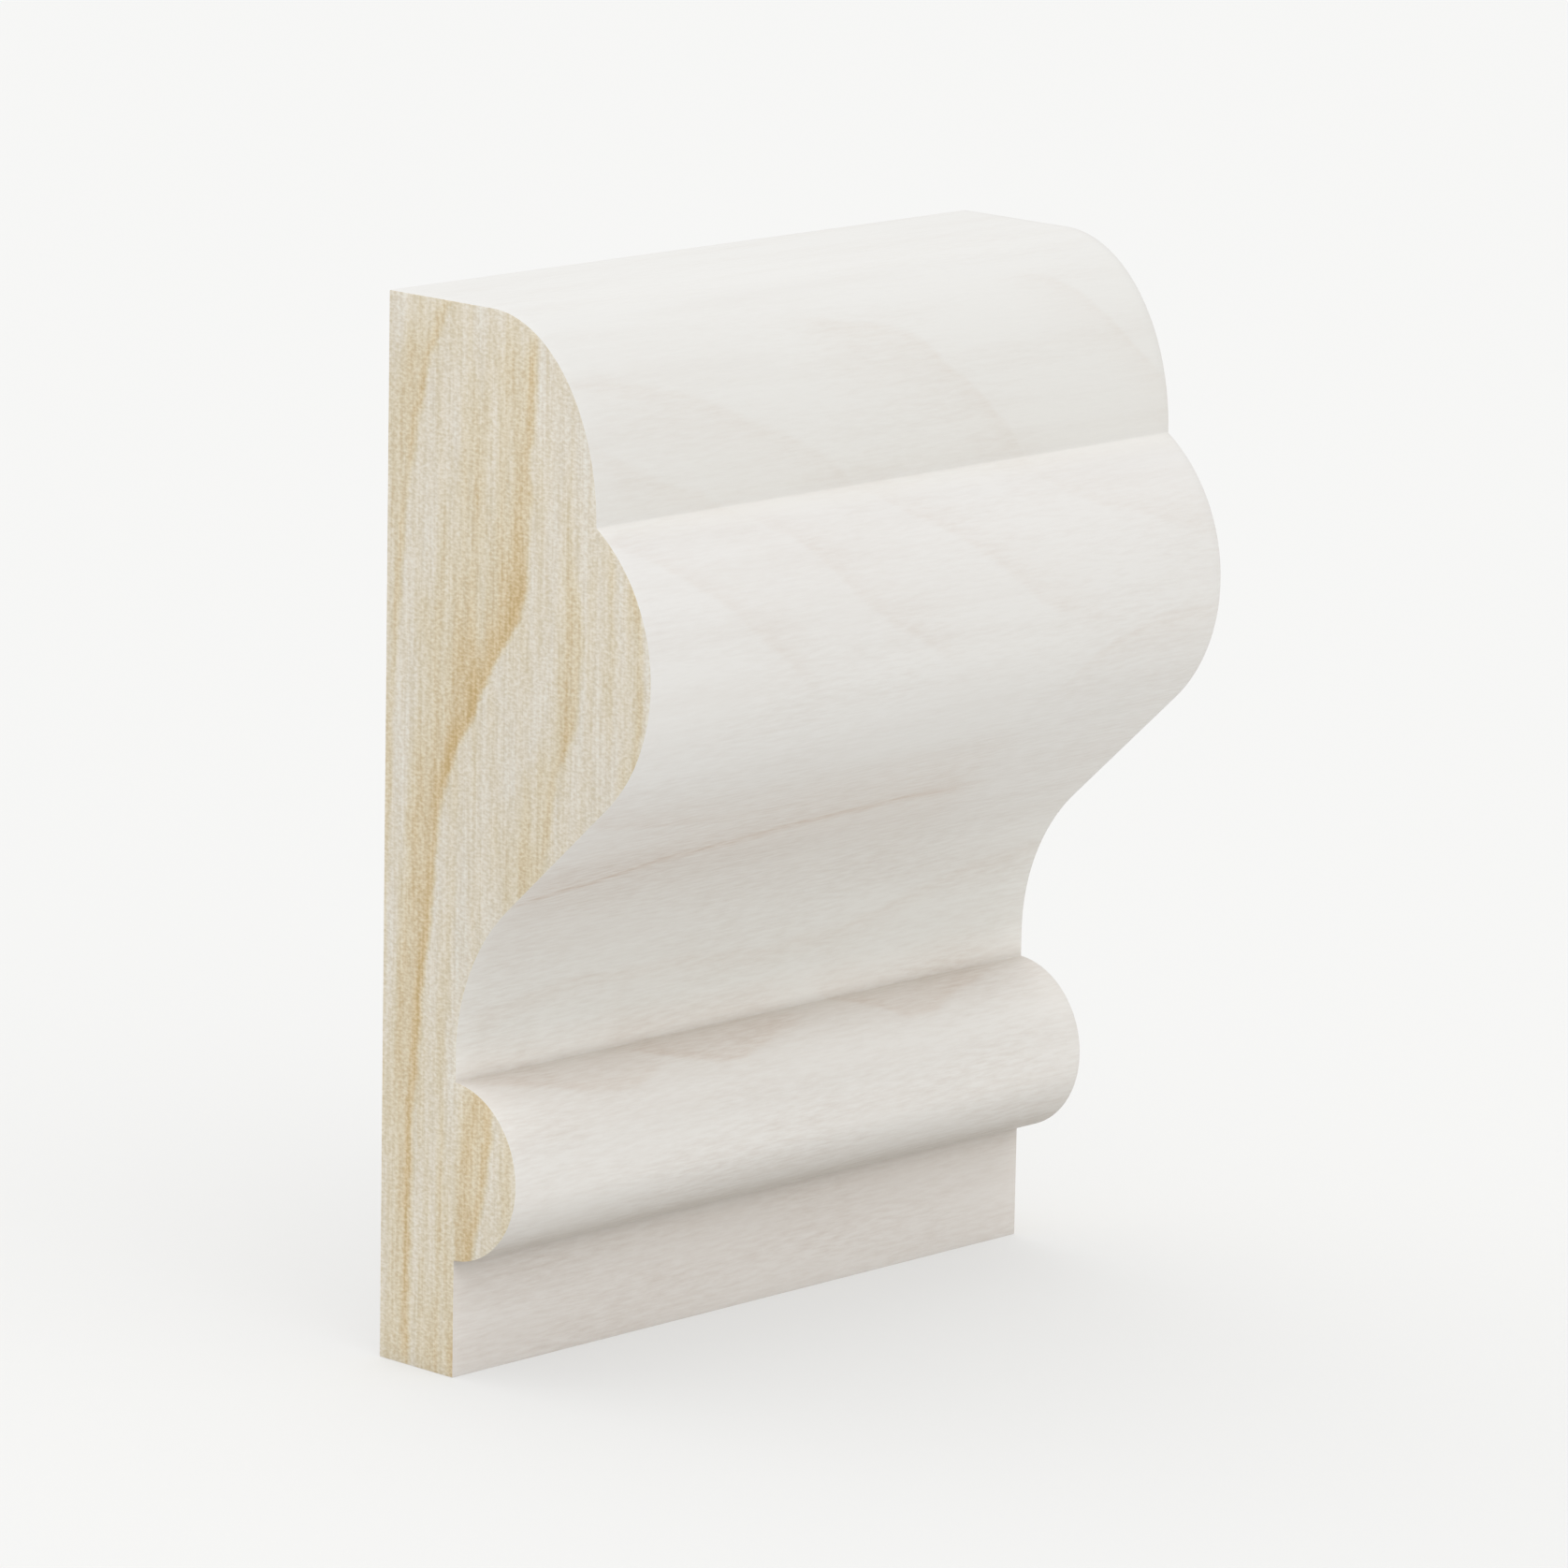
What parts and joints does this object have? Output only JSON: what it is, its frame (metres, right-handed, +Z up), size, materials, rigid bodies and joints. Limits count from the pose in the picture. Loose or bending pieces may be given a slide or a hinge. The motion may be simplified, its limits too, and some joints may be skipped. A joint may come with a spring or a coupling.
{
  "type": "inlay moulding",
  "caption": "Short square-cut length of primed softwood inlay moulding, with a fillet, bead, ogee and top round on its face and a flat back that it is glued or pinned by.",
  "frame": {"origin": "middle of the flat back, where the moulding is fixed", "axes": "+Z up, from the fillet to the level top; +Y out of the flat back, towards what it is fixed to; X along the run, with the moulded face towards -Y"},
  "size_m": [0.0336, 0.015, 0.044],
  "materials": {
    "primed_timber": "thin matt white primer over planed softwood, with bare sawn ends"
  },
  "bodies": {
    "root": {"moulding": "primed_timber"}
  },
  "joints": []
}
